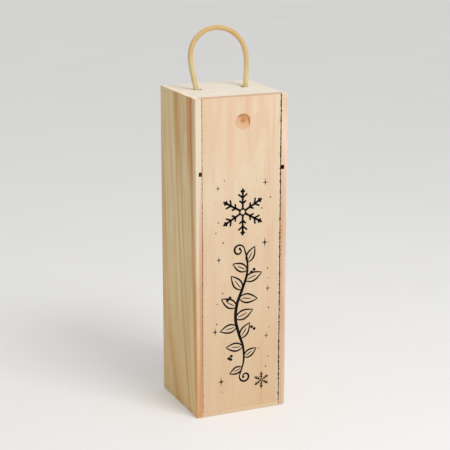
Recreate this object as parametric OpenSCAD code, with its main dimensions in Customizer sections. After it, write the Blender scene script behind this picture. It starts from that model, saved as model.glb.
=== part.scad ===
// Tall pine gift box for one wine bottle, with a sliding front lid and a rope handle.
// The origin is the middle of the footprint, on the surface the box stands on.
// The lid faces -Y, and +Z is up. All sizes are in millimetres.

/* [Box] */
// Height over all, without the rope
box_h = 350; // [320:1:420]
// Width across both side boards
box_w = 105; // [98:1:130]
// Depth from the lid's face to the back
box_d = 100; // [92:1:130]

/* [Boards] */
// Thickness of each side board
side_t = 7; // [6:0.5:12]
// Thickness of the back board
back_t = 5; // [4:0.5:10]
// Thickness of the top and bottom boards
end_t = 9; // [8:0.5:16]
// Rounding of the right board's outer corners
right_corner_r = 3; // [1:0.5:5]
// Rounding of the left board's outer corners
left_corner_r = 1; // [0.5:0.5:5]

/* [Sliding lid] */
// Thickness of the lid
lid_t = 7; // [5:0.5:9]
// Depth of the grooves that the lid's tongues run in
groove_depth = 3; // [2:0.5:4.5]
// Thickness of the lip of wood in front of each groove
groove_lip = 3; // [2:0.1:3.5]
// Front-to-back clearance of the tongue in its groove, on each face
slide_gap = 0.2; // [0.1:0.05:0.5]
// Side play of the lid between the side boards, both sides together
lid_play = 1.5; // [0.6:0.1:2.5]
// How far the lid sits to the right of the middle of its play
lid_shift = -0.35; // [-0.5:0.05:0.5]
// Clearance of each tongue's end in its groove
tongue_gap = 0.8; // [0.6:0.1:1.5]
// Height of the bottom board's edge that shows below the lid
sill_h = 5; // [2:0.5:7]

/* [Thumb scoop] */
// Diameter of the bit that cut the scoop
scoop_d = 16.5; // [12:0.5:22]
// Distance of the scoop's middle below the top of the lid
scoop_drop = 27; // [18:0.5:60]
// Distance of the scoop's middle to the right of the box's middle
scoop_x = 1; // [-10:0.5:10]
// Tilt of the bit, which makes the scoop deepest at its top
scoop_tilt = 12; // [6:1:15]
// Turn of the bit to the side, which makes the scoop deeper on its right
scoop_turn = 5; // [-8:1:8]
// Diameter of the mark that the bit's point left
pilot_d = 2; // [1:0.5:3]

/* [Neck holder] */
// Thickness of the neck holder
holder_t = 4.2; // [3:0.2:6]
// Height of its underside above the table
holder_z = 268.5; // [220:0.5:290]
// Depth of the dados that it slides into
dado_depth = 3.6; // [2.4:0.1:4.5]
// Width of its notch for the bottle's neck
neck_w = 32; // [28:1:40]
// Slack of the neck holder in its dados, above it
holder_slack = 0.4; // [0.2:0.1:0.8]
// Gap between the neck holder's ends and the floor of the dados
holder_end_gap = 0.4; // [0.2:0.1:0.8]

/* [Rope] */
// Diameter of the rope
rope_d = 6; // [4:0.5:8]
// Diameter of the two rope holes
rope_hole_d = 10; // [9:0.5:14]
// Distance between the rope holes' middles
rope_spacing = 54; // [44:1:64]
// Distance of the rope holes behind the box's middle
rope_y = 6; // [0:0.5:12]
// How far the arch leans back, in degrees
rope_lean = 12; // [0:1:30]
// Diameter of the coils of the knots
knot_d = 18; // [14:1:20]
// Distance between the middles of a knot's two coils
knot_step = 4.8; // [3:0.1:6]
// Length of the rope's tail below each knot
tail_l = 7; // [4:1:20]

/* [Brads] */
// Diameter of the shank
brad_d = 1.2; // [0.9:0.1:1.6]
// Length of a brad, with its head
brad_l = 20; // [14:1:30]
// Diameter of the head
brad_head_d = 2; // [1.6:0.1:2.6]
// Thickness of the head
brad_head_t = 0.8; // [0.5:0.1:1.2]
// Depth of the heads below the wood's surface
brad_set = 0.3; // [0.1:0.1:0.8]
// Brads in each end of the top and bottom boards
end_brads = 3; // [2:1:5]
// Brads down each edge of the back board
back_brads = 4; // [2:1:8]
// Distance of the outermost brads from the box's front and back
brad_margin = 12; // [10:0.5:25]
// Distance of the back board's outermost brads from its ends
back_brad_margin = 45; // [15:1:80]

/* [Hidden] */

round_fn = 48;
brad_fn = 24;
// How far a cut runs past the face that it opens
past = 1;
// Clearance around a brad in its hole
brad_gap = 0.05;
// Gap between the lid's back and the boards behind it
behind_lid = 0.3;
// Gap between the neck holder and the back board
holder_back_gap = 0.3;
// Gap between soft rope and what it passes
rope_gap = 0.3;

inner_w = box_w - 2 * side_t;
front_y = -box_d / 2;
back_y = box_d / 2;
lid_back_y = front_y + lid_t;
boards_front_y = lid_back_y + behind_lid;
cavity_back_y = back_y - back_t;
top_z = box_h - end_t;
dado_h = holder_t + holder_slack;
bottle_y = (lid_back_y + cavity_back_y) / 2;

rope_r = rope_d / 2;
knot_r = knot_d / 2;
// The rope leans on the outer side of its hole
rope_x = rope_spacing / 2 + rope_hole_d / 2 - rope_r - rope_gap;
// The arch swings about a line just above the top board
swing_z = box_h + rope_r + rope_gap;
// The rope's fixed stretch stops below the ball that ends the arch
stub_top_z = swing_z - rope_r - rope_gap / 2;

// Half of the arch's centreline, as distance from its middle and height above the swing line
half_arch = [[29, 0], [29.7, 4.5], [30.6, 10], [31.4, 15.5], [32, 21], [32.3, 26.5], [32.1, 32],
    [31.2, 37.5], [29.6, 42.5], [27.1, 47.2], [23.3, 51.8], [18.6, 55.8], [13.1, 58.8], [6.8, 60.7]];
arch_top = [0, 61.3];
rope_sides = 12;
// Rings that round off each end of the arch
cap_rings = 3;

module board(x0, x1, y0, y1, z0, z1) {
    translate([x0, y0, z0])
        cube([x1 - x0, y1 - y0, z1 - z0]);
}

// Cuts a rounded edge along Y where two faces meet at the right-hand side's outer corner
module edge_round(r, z, up) {
    translate([box_w / 2, 0, z])
        mirror([0, 0, up ? 0 : 1])
            difference() {
                translate([-r, -box_d / 2 - past, -r])
                    cube([r + past, box_d + 2 * past, r + past]);
                translate([-r, 0, -r])
                    rotate([90, 0, 0])
                        cylinder(r = r, h = box_d + 4 * past, center = true, $fn = round_fn);
            }
}

// Places its children at each brad of the right-hand side board, with +Z out of the wood
module at_brads() {
    first_y = front_y + brad_margin;
    step_y = (box_d - 2 * brad_margin) / (end_brads - 1);
    first_z = end_t + back_brad_margin;
    step_z = (top_z - back_brad_margin - first_z) / (back_brads - 1);
    for (i = [0 : end_brads - 1], z = [end_t / 2, box_h - end_t / 2])
        translate([box_w / 2, first_y + i * step_y, z])
            rotate([0, 90, 0])
                children();
    for (i = [0 : back_brads - 1])
        translate([box_w / 2, back_y - back_t / 2, first_z + i * step_z])
            rotate([0, 90, 0])
                children();
}

module brad() {
    shank_r = brad_d / 2;
    head_r = brad_head_d / 2;
    translate([0, 0, -brad_set])
        rotate_extrude($fn = brad_fn)
            polygon([[0, 0], [head_r, 0], [head_r, -brad_head_t], [shank_r, -brad_head_t],
                [shank_r, brad_d - brad_l], [0, -brad_l]]);
}

// The hole that a brad has made, open at the wood's surface
module brad_hole() {
    translate([0, 0, -brad_set - brad_l - brad_gap])
        cylinder(d = brad_d + 2 * brad_gap, h = brad_l + brad_set, $fn = brad_fn);
    translate([0, 0, -brad_set - brad_head_t - brad_gap])
        cylinder(d = brad_head_d + 2 * brad_gap, h = brad_head_t + brad_set + past, $fn = brad_fn);
}

module brad_holes_both_sides() {
    at_brads()
        brad_hole();
    mirror([1, 0, 0])
        at_brads()
            brad_hole();
}

module right_board(corner_r) {
    difference() {
        board(inner_w / 2, box_w / 2, front_y, back_y, 0, box_h);
        board(inner_w / 2 - past, inner_w / 2 + groove_depth,
            front_y + groove_lip, lid_back_y + slide_gap, -past, box_h + past);
        board(inner_w / 2 - past, inner_w / 2 + dado_depth,
            front_y - past, back_y + past, holder_z, holder_z + dado_h);
        edge_round(corner_r, box_h, true);
        edge_round(corner_r, 0, false);
        at_brads()
            brad_hole();
    }
}

module right_side() {
    color("BurlyWood")
        right_board(right_corner_r);
}

module left_side() {
    color("Tan")
        mirror([1, 0, 0])
            right_board(left_corner_r);
}

module back_panel() {
    color("Wheat")
        difference() {
            board(-inner_w / 2, inner_w / 2, cavity_back_y, back_y, end_t, top_z);
            brad_holes_both_sides();
        }
}

module top_panel() {
    color("AntiqueWhite")
        difference() {
            board(-inner_w / 2, inner_w / 2, boards_front_y, back_y, top_z, box_h);
            for (s = [-1, 1])
                translate([s * rope_spacing / 2, rope_y, top_z - past])
                    cylinder(d = rope_hole_d, h = end_t + 2 * past, $fn = round_fn);
            brad_holes_both_sides();
        }
}

module bottom_panel() {
    color("BlanchedAlmond")
        difference() {
            board(-inner_w / 2, inner_w / 2, front_y, back_y, 0, end_t);
            board(-inner_w / 2 - past, inner_w / 2 + past, front_y - past, boards_front_y,
                sill_h, end_t + past);
            brad_holes_both_sides();
        }
}

// The tilted bit: its flat end just reaches the lid's face at the scoop's lower edge
module scoop_cut() {
    reach = scoop_d / 2 * sin(scoop_tilt);
    translate([scoop_x, front_y + reach, box_h - scoop_drop])
        rotate([-scoop_tilt, 0, scoop_turn])
            rotate([90, 0, 0]) {
                cylinder(d = scoop_d, h = scoop_d, $fn = round_fn);
                translate([0, 0, -pilot_d / 2])
                    cylinder(d1 = 0, d2 = pilot_d, h = pilot_d / 2, $fn = brad_fn);
            }
}

module sliding_lid() {
    face_w = inner_w - lid_play;
    tongue_w = inner_w + 2 * (groove_depth - tongue_gap);
    color("Moccasin")
        difference() {
            union() {
                board(lid_shift - face_w / 2, lid_shift + face_w / 2,
                    front_y, lid_back_y, sill_h, box_h);
                board(lid_shift - tongue_w / 2, lid_shift + tongue_w / 2,
                    front_y + groove_lip + slide_gap, lid_back_y, sill_h, box_h);
            }
            scoop_cut();
        }
}

module neck_holder() {
    half_w = inner_w / 2 + dado_depth - holder_end_gap;
    holder_front_y = boards_front_y;
    color("NavajoWhite")
        difference() {
            board(-half_w, half_w, holder_front_y, cavity_back_y - holder_back_gap,
                holder_z, holder_z + holder_t);
            translate([0, bottle_y, holder_z - past])
                cylinder(d = neck_w, h = holder_t + 2 * past, $fn = round_fn);
            board(-neck_w / 2, neck_w / 2, holder_front_y - past, bottle_y,
                holder_z - past, holder_z + holder_t + past);
        }
}

// The rope's centreline, from the left leg over the top to the right leg
arch_points = concat([for (p = half_arch) [-p.x, p.y]], [arch_top],
    [for (i = [len(half_arch) - 1 : -1 : 0]) half_arch[i]]);
route = [for (p = arch_points)
    [p.x, rope_y + p.y * sin(rope_lean), swing_z + p.y * cos(rope_lean)]];
last = len(route) - 1;
arch_normal = [0, cos(rope_lean), -sin(rope_lean)];

function unit(v) = v / norm(v);
function along(i) = unit(route[min(i + 1, last)] - route[max(i - 1, 0)]);

// Each ring is [centre, direction, radius]; the first and last ones round off the ends
function cap(i, sign) = [for (k = [cap_rings : -1 : 1])
    let (a = 90 * k / (cap_rings + 1))
    [route[i] + sign * rope_r * sin(a) * along(i), along(i), rope_r * cos(a)]];
function backwards(v) = [for (i = [len(v) - 1 : -1 : 0]) v[i]];
rings = concat(cap(0, -1), [for (i = [0 : last]) [route[i], along(i), rope_r]],
    backwards(cap(last, 1)));
ring_count = len(rings);

function ring_points(g) =
    let (across = cross(arch_normal, g[1]))
    [for (k = [0 : rope_sides - 1])
        let (a = 360 * k / rope_sides)
        g[0] + g[2] * (cos(a) * across + sin(a) * arch_normal)];

module rope_handle() {
    points = concat([for (g = rings) each ring_points(g)],
        [route[0] - rope_r * along(0), route[last] + rope_r * along(last)]);
    start_tip = ring_count * rope_sides;
    end_tip = start_tip + 1;
    end_ring = (ring_count - 1) * rope_sides;
    walls = [for (j = [0 : ring_count - 2], k = [0 : rope_sides - 1])
        let (a = j * rope_sides + k, b = j * rope_sides + (k + 1) % rope_sides)
        each [[a, b, b + rope_sides], [a, b + rope_sides, a + rope_sides]]];
    start_cap = [for (k = [0 : rope_sides - 1]) [start_tip, (k + 1) % rope_sides, k]];
    end_cap = [for (k = [0 : rope_sides - 1])
        [end_tip, end_ring + k, end_ring + (k + 1) % rope_sides]];
    color("Khaki")
        polyhedron(points = points, faces = concat(walls, start_cap, end_cap));
}

// A coil of rope round the knot's middle, as a ring of round section
module knot_coil(z) {
    translate([0, 0, z])
        rotate_extrude($fn = round_fn)
            translate([knot_r - rope_r, 0])
                circle(r = rope_r, $fn = brad_fn);
}

// One end of the rope: the stretch in its hole, a knot of two coils and a short tail
module rope_end() {
    knot_h = rope_d + knot_step;
    color("Khaki")
        translate([rope_x, rope_y, top_z]) {
            translate([0, 0, -knot_h - tail_l])
                cylinder(r = rope_r, h = knot_h + tail_l + stub_top_z - top_z, $fn = round_fn);
            translate([0, 0, rope_r - knot_h])
                cylinder(r = knot_r - rope_r, h = knot_h - rope_d, $fn = round_fn);
            knot_coil(-rope_r);
            knot_coil(-rope_r - knot_step);
        }
}

module rope_knot_right() {
    rope_end();
}

module rope_knot_left() {
    mirror([1, 0, 0])
        rope_end();
}

module right_side_brads() {
    color("Silver")
        at_brads()
            brad();
}

module left_side_brads() {
    color("Silver")
        mirror([1, 0, 0])
            at_brads()
                brad();
}

left_side();
right_side();
back_panel();
top_panel();
bottom_panel();
sliding_lid();
neck_holder();
rope_handle();
rope_knot_left();
rope_knot_right();
left_side_brads();
right_side_brads();
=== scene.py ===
# %% [markdown]
# # A wooden box for one bottle
#
# The real object is a tall pine box for one bottle of wine. Two side boards stand on edge, a top,
# a bottom and a back are nailed between them, and the front is a thin lid that slides up in
# grooves. A braided rope comes up through two holes in the top and makes the handle.
#
# A box like this could be modelled in Blender from nothing, but here a CAD model already holds
# every board at its real size, along with its joints. So this lesson starts from that frame. It
# leaves the boards where they are, gives each one its own piece of pine, and models what CAD
# can't do well: the braid of the rope, its knots, and the print on the lid.

import math

import bpy
import numpy as np
from mathutils import Matrix, Vector


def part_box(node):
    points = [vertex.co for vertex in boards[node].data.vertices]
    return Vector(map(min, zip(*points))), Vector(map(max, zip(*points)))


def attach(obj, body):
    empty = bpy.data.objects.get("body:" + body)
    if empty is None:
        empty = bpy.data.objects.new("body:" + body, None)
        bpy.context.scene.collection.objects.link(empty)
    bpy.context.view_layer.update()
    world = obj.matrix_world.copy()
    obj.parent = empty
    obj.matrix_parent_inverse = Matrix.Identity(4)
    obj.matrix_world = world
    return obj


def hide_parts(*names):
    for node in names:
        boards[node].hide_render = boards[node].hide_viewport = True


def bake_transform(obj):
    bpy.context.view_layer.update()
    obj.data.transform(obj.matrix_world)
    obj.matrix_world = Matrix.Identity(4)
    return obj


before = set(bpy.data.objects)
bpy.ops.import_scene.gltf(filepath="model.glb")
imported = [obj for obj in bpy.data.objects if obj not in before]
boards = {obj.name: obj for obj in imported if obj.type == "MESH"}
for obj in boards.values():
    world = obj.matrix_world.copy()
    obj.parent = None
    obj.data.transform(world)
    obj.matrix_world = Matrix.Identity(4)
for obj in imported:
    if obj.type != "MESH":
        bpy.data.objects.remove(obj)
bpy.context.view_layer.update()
print("Boards and fittings in the frame:", ", ".join(sorted(boards)))

# %% [markdown]
# ## The camera
#
# The camera could be set by eye, but a photograph of a box holds enough straight edges to work it
# out. Seven corners of the box were read from the picture, and a lens, a direction and a distance
# were fitted to them until the model's corners fell on the same places. The result is a long
# lens, a little to the left of the box and a little above it.
#
# Blender's camera looks along its own -Z axis, so its three axes are the columns of a matrix.

# %% Place the camera
LENS_MM = 109.17
SENSOR_MM = 36.0
FARTHEST_SEEN = 60.0
AZIMUTH = math.radians(-23.402)
ELEVATION = math.radians(14.887)
DISTANCE = 1.501314
SLIDE_RIGHT = -0.00201
SLIDE_UP = -0.023904
BOX_MIDDLE = Vector((0.0, 0.0, 0.175))

towards_camera = Vector((
    math.sin(AZIMUTH) * math.cos(ELEVATION),
    -math.cos(AZIMUTH) * math.cos(ELEVATION),
    math.sin(ELEVATION),
))
camera_right = (-towards_camera).cross(Vector((0, 0, 1))).normalized()
camera_up = towards_camera.cross(camera_right)


def add_object(name, data):
    """Puts a camera, a lamp or a mesh into the scene."""
    thing = bpy.data.objects.new(name, data)
    bpy.context.scene.collection.objects.link(thing)
    return thing


camera_data = bpy.data.cameras.new("camera")
camera_data.lens = LENS_MM
camera_data.sensor_width = SENSOR_MM
camera_data.clip_end = FARTHEST_SEEN
camera = add_object("camera", camera_data)
turn = Matrix((camera_right, camera_up, towards_camera)).transposed().to_4x4()
place = BOX_MIDDLE - SLIDE_RIGHT * camera_right - SLIDE_UP * camera_up + DISTANCE * towards_camera
camera.matrix_world = Matrix.Translation(place) @ turn
bpy.context.scene.camera = camera
print("Camera stands at", [round(value, 3) for value in place])

# %% [markdown]
# ## The line the rope follows
#
# The handle is one piece of rope. It comes up through the left hole, stands in an arch by its own
# stiffness, and goes down the right hole. Each end is knotted under the top board so that it
# can't pull out.
#
# Half of the arch is given here as distance from the middle and height above its foot, 3 mm over
# the top board, and the other half mirrors it. The arch leans back a little, as it does in the
# photograph. A smooth curve through a few points is easier to judge than a long list of points,
# so the few are joined by a spline and then cut into equal steps.

# %% The rope's route
ROPE_RADIUS = 0.003
ROPE_Y = 0.006
LEG_X = 0.0287
SWING_Z = 0.3533
ARCH_LEAN = math.radians(12)
TOP_BOARD_UNDERSIDE = 0.341
HALF_ARCH = [
    (0.029, 0.0), (0.0297, 0.0045), (0.0306, 0.010), (0.0314, 0.0155), (0.032, 0.021),
    (0.0323, 0.0265), (0.0321, 0.032), (0.0312, 0.0375), (0.0296, 0.0425), (0.0271, 0.0472),
    (0.0233, 0.0518), (0.0186, 0.0558), (0.0131, 0.0588), (0.0068, 0.0607),
]
ARCH_TOP = (0.0, 0.0613)
ROPE_END_Z = TOP_BOARD_UNDERSIDE + 0.0004
ROPE_STEP = 0.00048
FINE_STEPS = 40


def arch_point(across, height):
    """A point of the arch, leaning back about the line where the rope leaves its holes."""
    return (across, ROPE_Y + height * math.sin(ARCH_LEAN), SWING_Z + height * math.cos(ARCH_LEAN))


def run_along(line):
    """How far along the line each of its points lies."""
    return np.r_[0.0, np.cumsum(np.linalg.norm(np.diff(line, axis=0), axis=1))]


def points_at(stops, run, line):
    """The points that lie at the given distances along a line."""
    return np.array([np.interp(stops, run, column) for column in line.T]).T


def even_steps(points, step):
    """A smooth line through the points, cut into equal steps."""
    points = np.array(points, dtype=float)
    chord = run_along(points)
    slopes = np.gradient(points, chord, axis=0)
    fine = np.linspace(0.0, chord[-1], len(points) * FINE_STEPS)
    span = np.clip(np.searchsorted(chord, fine, side="right") - 1, 0, len(chord) - 2)
    width = (chord[span + 1] - chord[span])[:, None]
    t = (fine - chord[span])[:, None] / width
    smooth = (
        (2 * t**3 - 3 * t**2 + 1) * points[span]
        + (t**3 - 2 * t**2 + t) * width * slopes[span]
        + (3 * t**2 - 2 * t**3) * points[span + 1]
        + (t**3 - t**2) * width * slopes[span + 1]
    )
    run = run_along(smooth)
    even = np.linspace(0.0, run[-1], max(2, int(round(run[-1] / step)) + 1))
    return points_at(even, run, smooth)


left_leg = [(-LEG_X, ROPE_Y, ROPE_END_Z), (-LEG_X, ROPE_Y, 0.3455), (-LEG_X, ROPE_Y, 0.3495)]
left_arch = [arch_point(-across, height) for across, height in HALF_ARCH]
right_half = [(-x, y, z) for x, y, z in reversed(left_leg + left_arch)]
rope_route = left_leg + left_arch + [arch_point(*ARCH_TOP)] + right_half
rope_line = even_steps(rope_route, ROPE_STEP)
rope_length = float(run_along(rope_line)[-1])
print("Rope from hole to hole:", round(rope_length * 1000, 1), "mm in", len(rope_line), "steps")

# %% [markdown]
# ## Braiding a rope
#
# A cord of this kind is braided from twelve strands. Six go round it one way and six the other
# way, and each passes over two strands and then under two, which gives the fine herringbone that
# shows on the photographed rope. Its ticks are about two millimetres apart, and that sets the
# pitch. A smooth tube with a bump map would look flat along its outline, so every strand is
# modelled.
#
# Each strand is a flat tube. Its middle runs round the rope's line as a helix, and its distance
# from that line rises and falls with a cosine, one wave for every four crossings. Where two
# strands cross, one is at the top of its wave just where the other is at the bottom.
#
# The frames along the line are carried from step to step without twisting. Frames that follow
# the curvature instead would flip wherever the rope's bend changes direction.

# %% Frames that travel along a line
def unit(arrows):
    """Arrows made one long, in the same directions."""
    return arrows / np.linalg.norm(arrows, axis=1)[:, None]


def carried_frames(line):
    """Directions along the line and two across it, carried along without twist."""
    ahead = unit(np.gradient(line, axis=0))
    side = np.zeros_like(line)
    start = np.array([0.0, 1.0, 0.0]) if abs(ahead[0, 1]) < 0.9 else np.array([1.0, 0.0, 0.0])
    side[0] = start - ahead[0] * np.dot(start, ahead[0])
    for i in range(1, len(line)):
        side[i] = side[i - 1] - ahead[i] * np.dot(side[i - 1], ahead[i])
        side[i] /= np.linalg.norm(side[i])
    side[0] /= np.linalg.norm(side[0])
    return ahead, side, np.cross(ahead, side)


# %% Tubes and strands
def tube(line, across, up, wide, thick, sides):
    """Rings of points round a line, and how far across the tube each point lies."""
    angle = np.arange(sides) * 2 * math.pi / sides
    wide = np.broadcast_to(np.asarray(wide, dtype=float), (len(line),))
    thick = np.broadcast_to(np.asarray(thick, dtype=float), (len(line),))
    rings = (
        line[:, None]
        + across[:, None] * np.cos(angle)[None, :, None] * wide[:, None, None]
        + up[:, None] * np.sin(angle)[None, :, None] * thick[:, None, None]
    )
    return rings, np.cos(angle)


def tube_faces(rings, sides, first):
    """Faces between the rings, with a closed end at each side."""
    faces = []
    for ring in range(rings - 1):
        here = first + ring * sides
        for k in range(sides):
            turn_k = (k + 1) % sides
            faces.append((here + k, here + turn_k, here + sides + turn_k, here + sides + k))
    faces.append(tuple(first + k for k in reversed(range(sides))))
    last = first + (rings - 1) * sides
    faces.append(tuple(last + k for k in range(sides)))
    return faces


# %% The braid
CARRIERS = 6
BRAID_PITCH = 0.0126
STRAND_SIDES = 10
STRAND_WIDTH = 0.240
STRAND_THICKNESS = 0.155
BRAID_MIDDLE = 0.710
BRAID_WAVE = 0.135
BRAID_PHASE = 0.5
CORE_SHARE = 0.66


def braid(name, line, radius):
    """One mesh of twelve strands that pass over two and under two, round a core."""
    step = run_along(line)
    ahead, side, other = carried_frames(line)
    radius = np.broadcast_to(np.asarray(radius, dtype=float), (len(line),))
    crossing = 2 * CARRIERS * step / BRAID_PITCH
    tubes = []
    for way in (1, -1):
        for carrier in range(CARRIERS):
            angle = way * 2 * math.pi * step / BRAID_PITCH + 2 * math.pi * carrier / CARRIERS
            wave = np.cos(math.pi / 2 * (way * crossing + 2 * carrier - BRAID_PHASE)) * way
            lift = radius * (BRAID_MIDDLE + BRAID_WAVE * wave)
            outward = side * np.cos(angle)[:, None] + other * np.sin(angle)[:, None]
            middle = line + outward * lift[:, None]
            forward = unit(np.gradient(middle, axis=0))
            across = unit(np.cross(forward, outward))
            up = np.cross(across, forward)
            wide = radius * STRAND_WIDTH
            thick = radius * STRAND_THICKNESS
            rings, spread = tube(middle, across, up, wide, thick, STRAND_SIDES)
            label = (carrier + (CARRIERS if way < 0 else 0)) / (2 * CARRIERS)
            tubes.append((rings, spread, label))
    core_radius = radius * CORE_SHARE
    core, _ = tube(line, side, other, core_radius, core_radius, STRAND_SIDES)
    tubes.append((core, np.ones(STRAND_SIDES), 1.0))

    tube_points = len(line) * STRAND_SIDES
    points = np.concatenate([rings.reshape(-1, 3) for rings, _, _ in tubes])
    faces = []
    for i in range(len(tubes)):
        faces += tube_faces(len(line), STRAND_SIDES, i * tube_points)
    mesh = bpy.data.meshes.new(name)
    mesh.from_pydata(points.tolist(), [], faces)
    for label, values in (
        ("across", np.concatenate([np.tile(spread, len(line)) for _, spread, _ in tubes])),
        ("along", np.tile(np.repeat(step, STRAND_SIDES), len(tubes))),
        ("strand", np.repeat([strand for _, _, strand in tubes], tube_points)),
    ):
        mesh.attributes.new(label, "FLOAT", "POINT").data.foreach_set("value", values)
    mesh.shade_smooth()
    mesh.update()
    print(name, "has", len(mesh.vertices), "points and", len(mesh.polygons), "faces")
    return add_object(name, mesh)


rope = braid("braided_rope", rope_line, ROPE_RADIUS)

# %% [markdown]
# ## Tying the knots
#
# Under the top board each end of the rope has a plain overhand knot. A knot drawn by hand rarely
# looks tight. It is easier to start from a loose one, which three short polynomials describe, and
# to pull it tight in small steps.
#
# In every round the rope gets a little shorter. Then, step by step, sharp bends are eased,
# stretches that come closer than one rope's thickness push each other away, and every link of the
# line is pulled back to its length. After some sixty rounds nothing can move any more and the knot
# is tight. A rope under load is squeezed thinner inside its knot, so the thickness used here is
# less than the rope's own.

# %% Pull a loose knot tight
KNOT_ROPE = 0.0052
KNOT_POINTS = 110
KNOT_ROUNDS = 62
EASING_STEPS = 30
LENGTH_STEPS = 4
LOOSE_POINTS = 3000
LOOSE_SPAN = 2.05
LOOSE_SIZE = 1.7
CENTRING = 0.75
SHORTER_EACH_ROUND = 0.985
EASED_EACH_STEP = 0.25
NEIGHBOURS_WITHIN = 1.6
END_DISTANCE = KNOT_ROPE * 4
END_DRAWN_IN = 0.97


def tight_knot():
    """The line of a tight overhand knot whose two ends run along the Z axis."""
    t = np.linspace(-LOOSE_SPAN, LOOSE_SPAN, LOOSE_POINTS)
    loose = np.c_[t**3 - 3 * t, t**4 - 4 * t**2, (t**5 - 10 * t) / 4] * KNOT_ROPE * LOOSE_SIZE
    middle_third = slice(LOOSE_POINTS // 3, 2 * LOOSE_POINTS // 3)
    loose[:, 1] -= loose[middle_third, 1].mean() * CENTRING
    run = run_along(loose)
    line = points_at(np.linspace(0.0, run[-1], KNOT_POINTS), run, loose)
    link = run[-1] / (KNOT_POINTS - 1)
    first, second = np.triu_indices(KNOT_POINTS, k=1)
    for _ in range(KNOT_ROUNDS):
        link *= SHORTER_EACH_ROUND
        apart = (second - first) >= max(2, math.ceil(KNOT_ROPE * NEIGHBOURS_WITHIN / link))
        a = first[apart]
        b = second[apart]
        drawn_in = END_DISTANCE + (abs(line[0, 2]) - END_DISTANCE) * END_DRAWN_IN
        reach = max(END_DISTANCE, drawn_in)
        for _ in range(EASING_STEPS):
            line[1:-1] += EASED_EACH_STEP * ((line[:-2] + line[2:]) / 2 - line[1:-1])
            between = line[a] - line[b]
            gap = np.linalg.norm(between, axis=1)
            close = gap < KNOT_ROPE
            push = ((KNOT_ROPE - gap[close]) / 4 / gap[close])[:, None] * between[close]
            np.add.at(line, a[close], push)
            np.add.at(line, b[close], -push)
            for _ in range(LENGTH_STEPS):
                for odd in (0, 1):
                    pairs = (KNOT_POINTS - odd) // 2
                    here = slice(odd, odd + 2 * pairs, 2)
                    there = slice(odd + 1, odd + 1 + 2 * pairs, 2)
                    reach_out = line[there] - line[here]
                    long = np.linalg.norm(reach_out, axis=1)
                    pull = ((long - link) / 2 / long)[:, None] * reach_out
                    line[here] += pull
                    line[there] -= pull
                line[0] = (0.0, 0.0, math.copysign(reach, line[0, 2]))
                line[-1] = (0.0, 0.0, math.copysign(reach, line[-1, 2]))
    return line if line[0, 2] > line[-1, 2] else line[::-1]


knot_line = tight_knot()
knot_body = knot_line[KNOT_POINTS // 4 : -KNOT_POINTS // 4]
knot_size = (np.ptp(knot_body, axis=0) + KNOT_ROPE) * 1000
print("Tight knot, in mm each way:", knot_size.round(1))

# %% Place a knot under each hole
TAIL_BELOW_KNOT = 0.005
KNOT_BELOW_BOARD = 0.0003
STRAIGHT_HEAD = 0.0006
KNOT_STOPS = [0.0, 0.08, 0.9, 0.98, 1.0]
KNOT_THICKNESS = [1.0, 0.9, 0.9, 0.97, 0.8]


def knot_piece(name, x, quarter_turns):
    """The knotted end of the rope, from the underside of the top board to the cut tail."""
    top = knot_body[:, 2].max() + KNOT_ROPE * 0.5
    bottom = knot_body[:, 2].min() - KNOT_ROPE * 0.5
    inside = (knot_line[:, 2] < top) & (knot_line[:, 2] > bottom - TAIL_BELOW_KNOT)
    first = int(np.argmax(inside))
    last = len(inside) - int(np.argmax(inside[::-1]))
    line = knot_line[first:last] - [*knot_line[first, :2], 0.0]
    angle = quarter_turns * math.pi / 2
    cosine = math.cos(angle)
    sine = math.sin(angle)
    line[:, :2] = line[:, :2] @ np.array([[cosine, sine], [-sine, cosine]])
    line += np.array([x, ROPE_Y, TOP_BOARD_UNDERSIDE - KNOT_BELOW_BOARD - top])
    head = np.array([[x, ROPE_Y, ROPE_END_Z], [x, ROPE_Y, ROPE_END_Z - STRAIGHT_HEAD]])
    line = even_steps(np.concatenate([head, line[1:]]), ROPE_STEP)
    share = np.linspace(0.0, 1.0, len(line))
    radius = np.interp(share, KNOT_STOPS, KNOT_THICKNESS) * ROPE_RADIUS
    print(name, "hangs down to z =", round(float(line[:, 2].min() * 1000), 1), "mm")
    return braid(name, line, radius)


knot_left = knot_piece("braided_knot_left", -LEG_X, 0)
knot_right = knot_piece("braided_knot_right", LEG_X, 1)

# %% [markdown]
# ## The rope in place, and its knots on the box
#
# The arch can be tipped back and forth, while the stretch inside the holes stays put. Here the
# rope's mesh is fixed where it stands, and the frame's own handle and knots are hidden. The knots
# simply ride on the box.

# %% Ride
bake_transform(rope)
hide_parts("rope_handle")
for knot, node in ((knot_left, "rope_knot_left"), (knot_right, "rope_knot_right")):
    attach(knot, "box")
    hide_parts(node)

# %% [markdown]
# ## A few helpers for node trees
#
# Materials here are built from nodes, because image textures would blur close up and would need
# their own files. Building node trees line by line gets long, so one helper adds a node, sets its
# values and links its inputs in one go. Colours are written as a paint chart gives them, from 0
# to 255, and turned into the linear values that Blender calculates with.

# %% Node helpers
def paint(red, green, blue):
    """A chart colour as the linear colour that shaders work with."""
    def linear(value):
        value /= 255
        return value / 12.92 if value <= 0.04045 else ((value + 0.055) / 1.055) ** 2.4
    return (linear(red), linear(green), linear(blue), 1.0)


def fill(tree, node, inputs):
    """Links or fills a node's inputs."""
    for name, value in inputs.items():
        if isinstance(value, bpy.types.NodeSocket):
            tree.links.new(value, node.inputs[name])
        else:
            node.inputs[name].default_value = value


def put(tree, kind, inputs=None, **settings):
    """Adds a node, sets it up, and links or fills its inputs."""
    node = tree.nodes.new("ShaderNode" + kind)
    for name, value in settings.items():
        setattr(node, name, value)
    fill(tree, node, inputs or {})
    return node


def maths(tree, operation, *values):
    """The result of one Math node."""
    return put(tree, "Math", dict(enumerate(values)), operation=operation).outputs[0]


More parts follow.
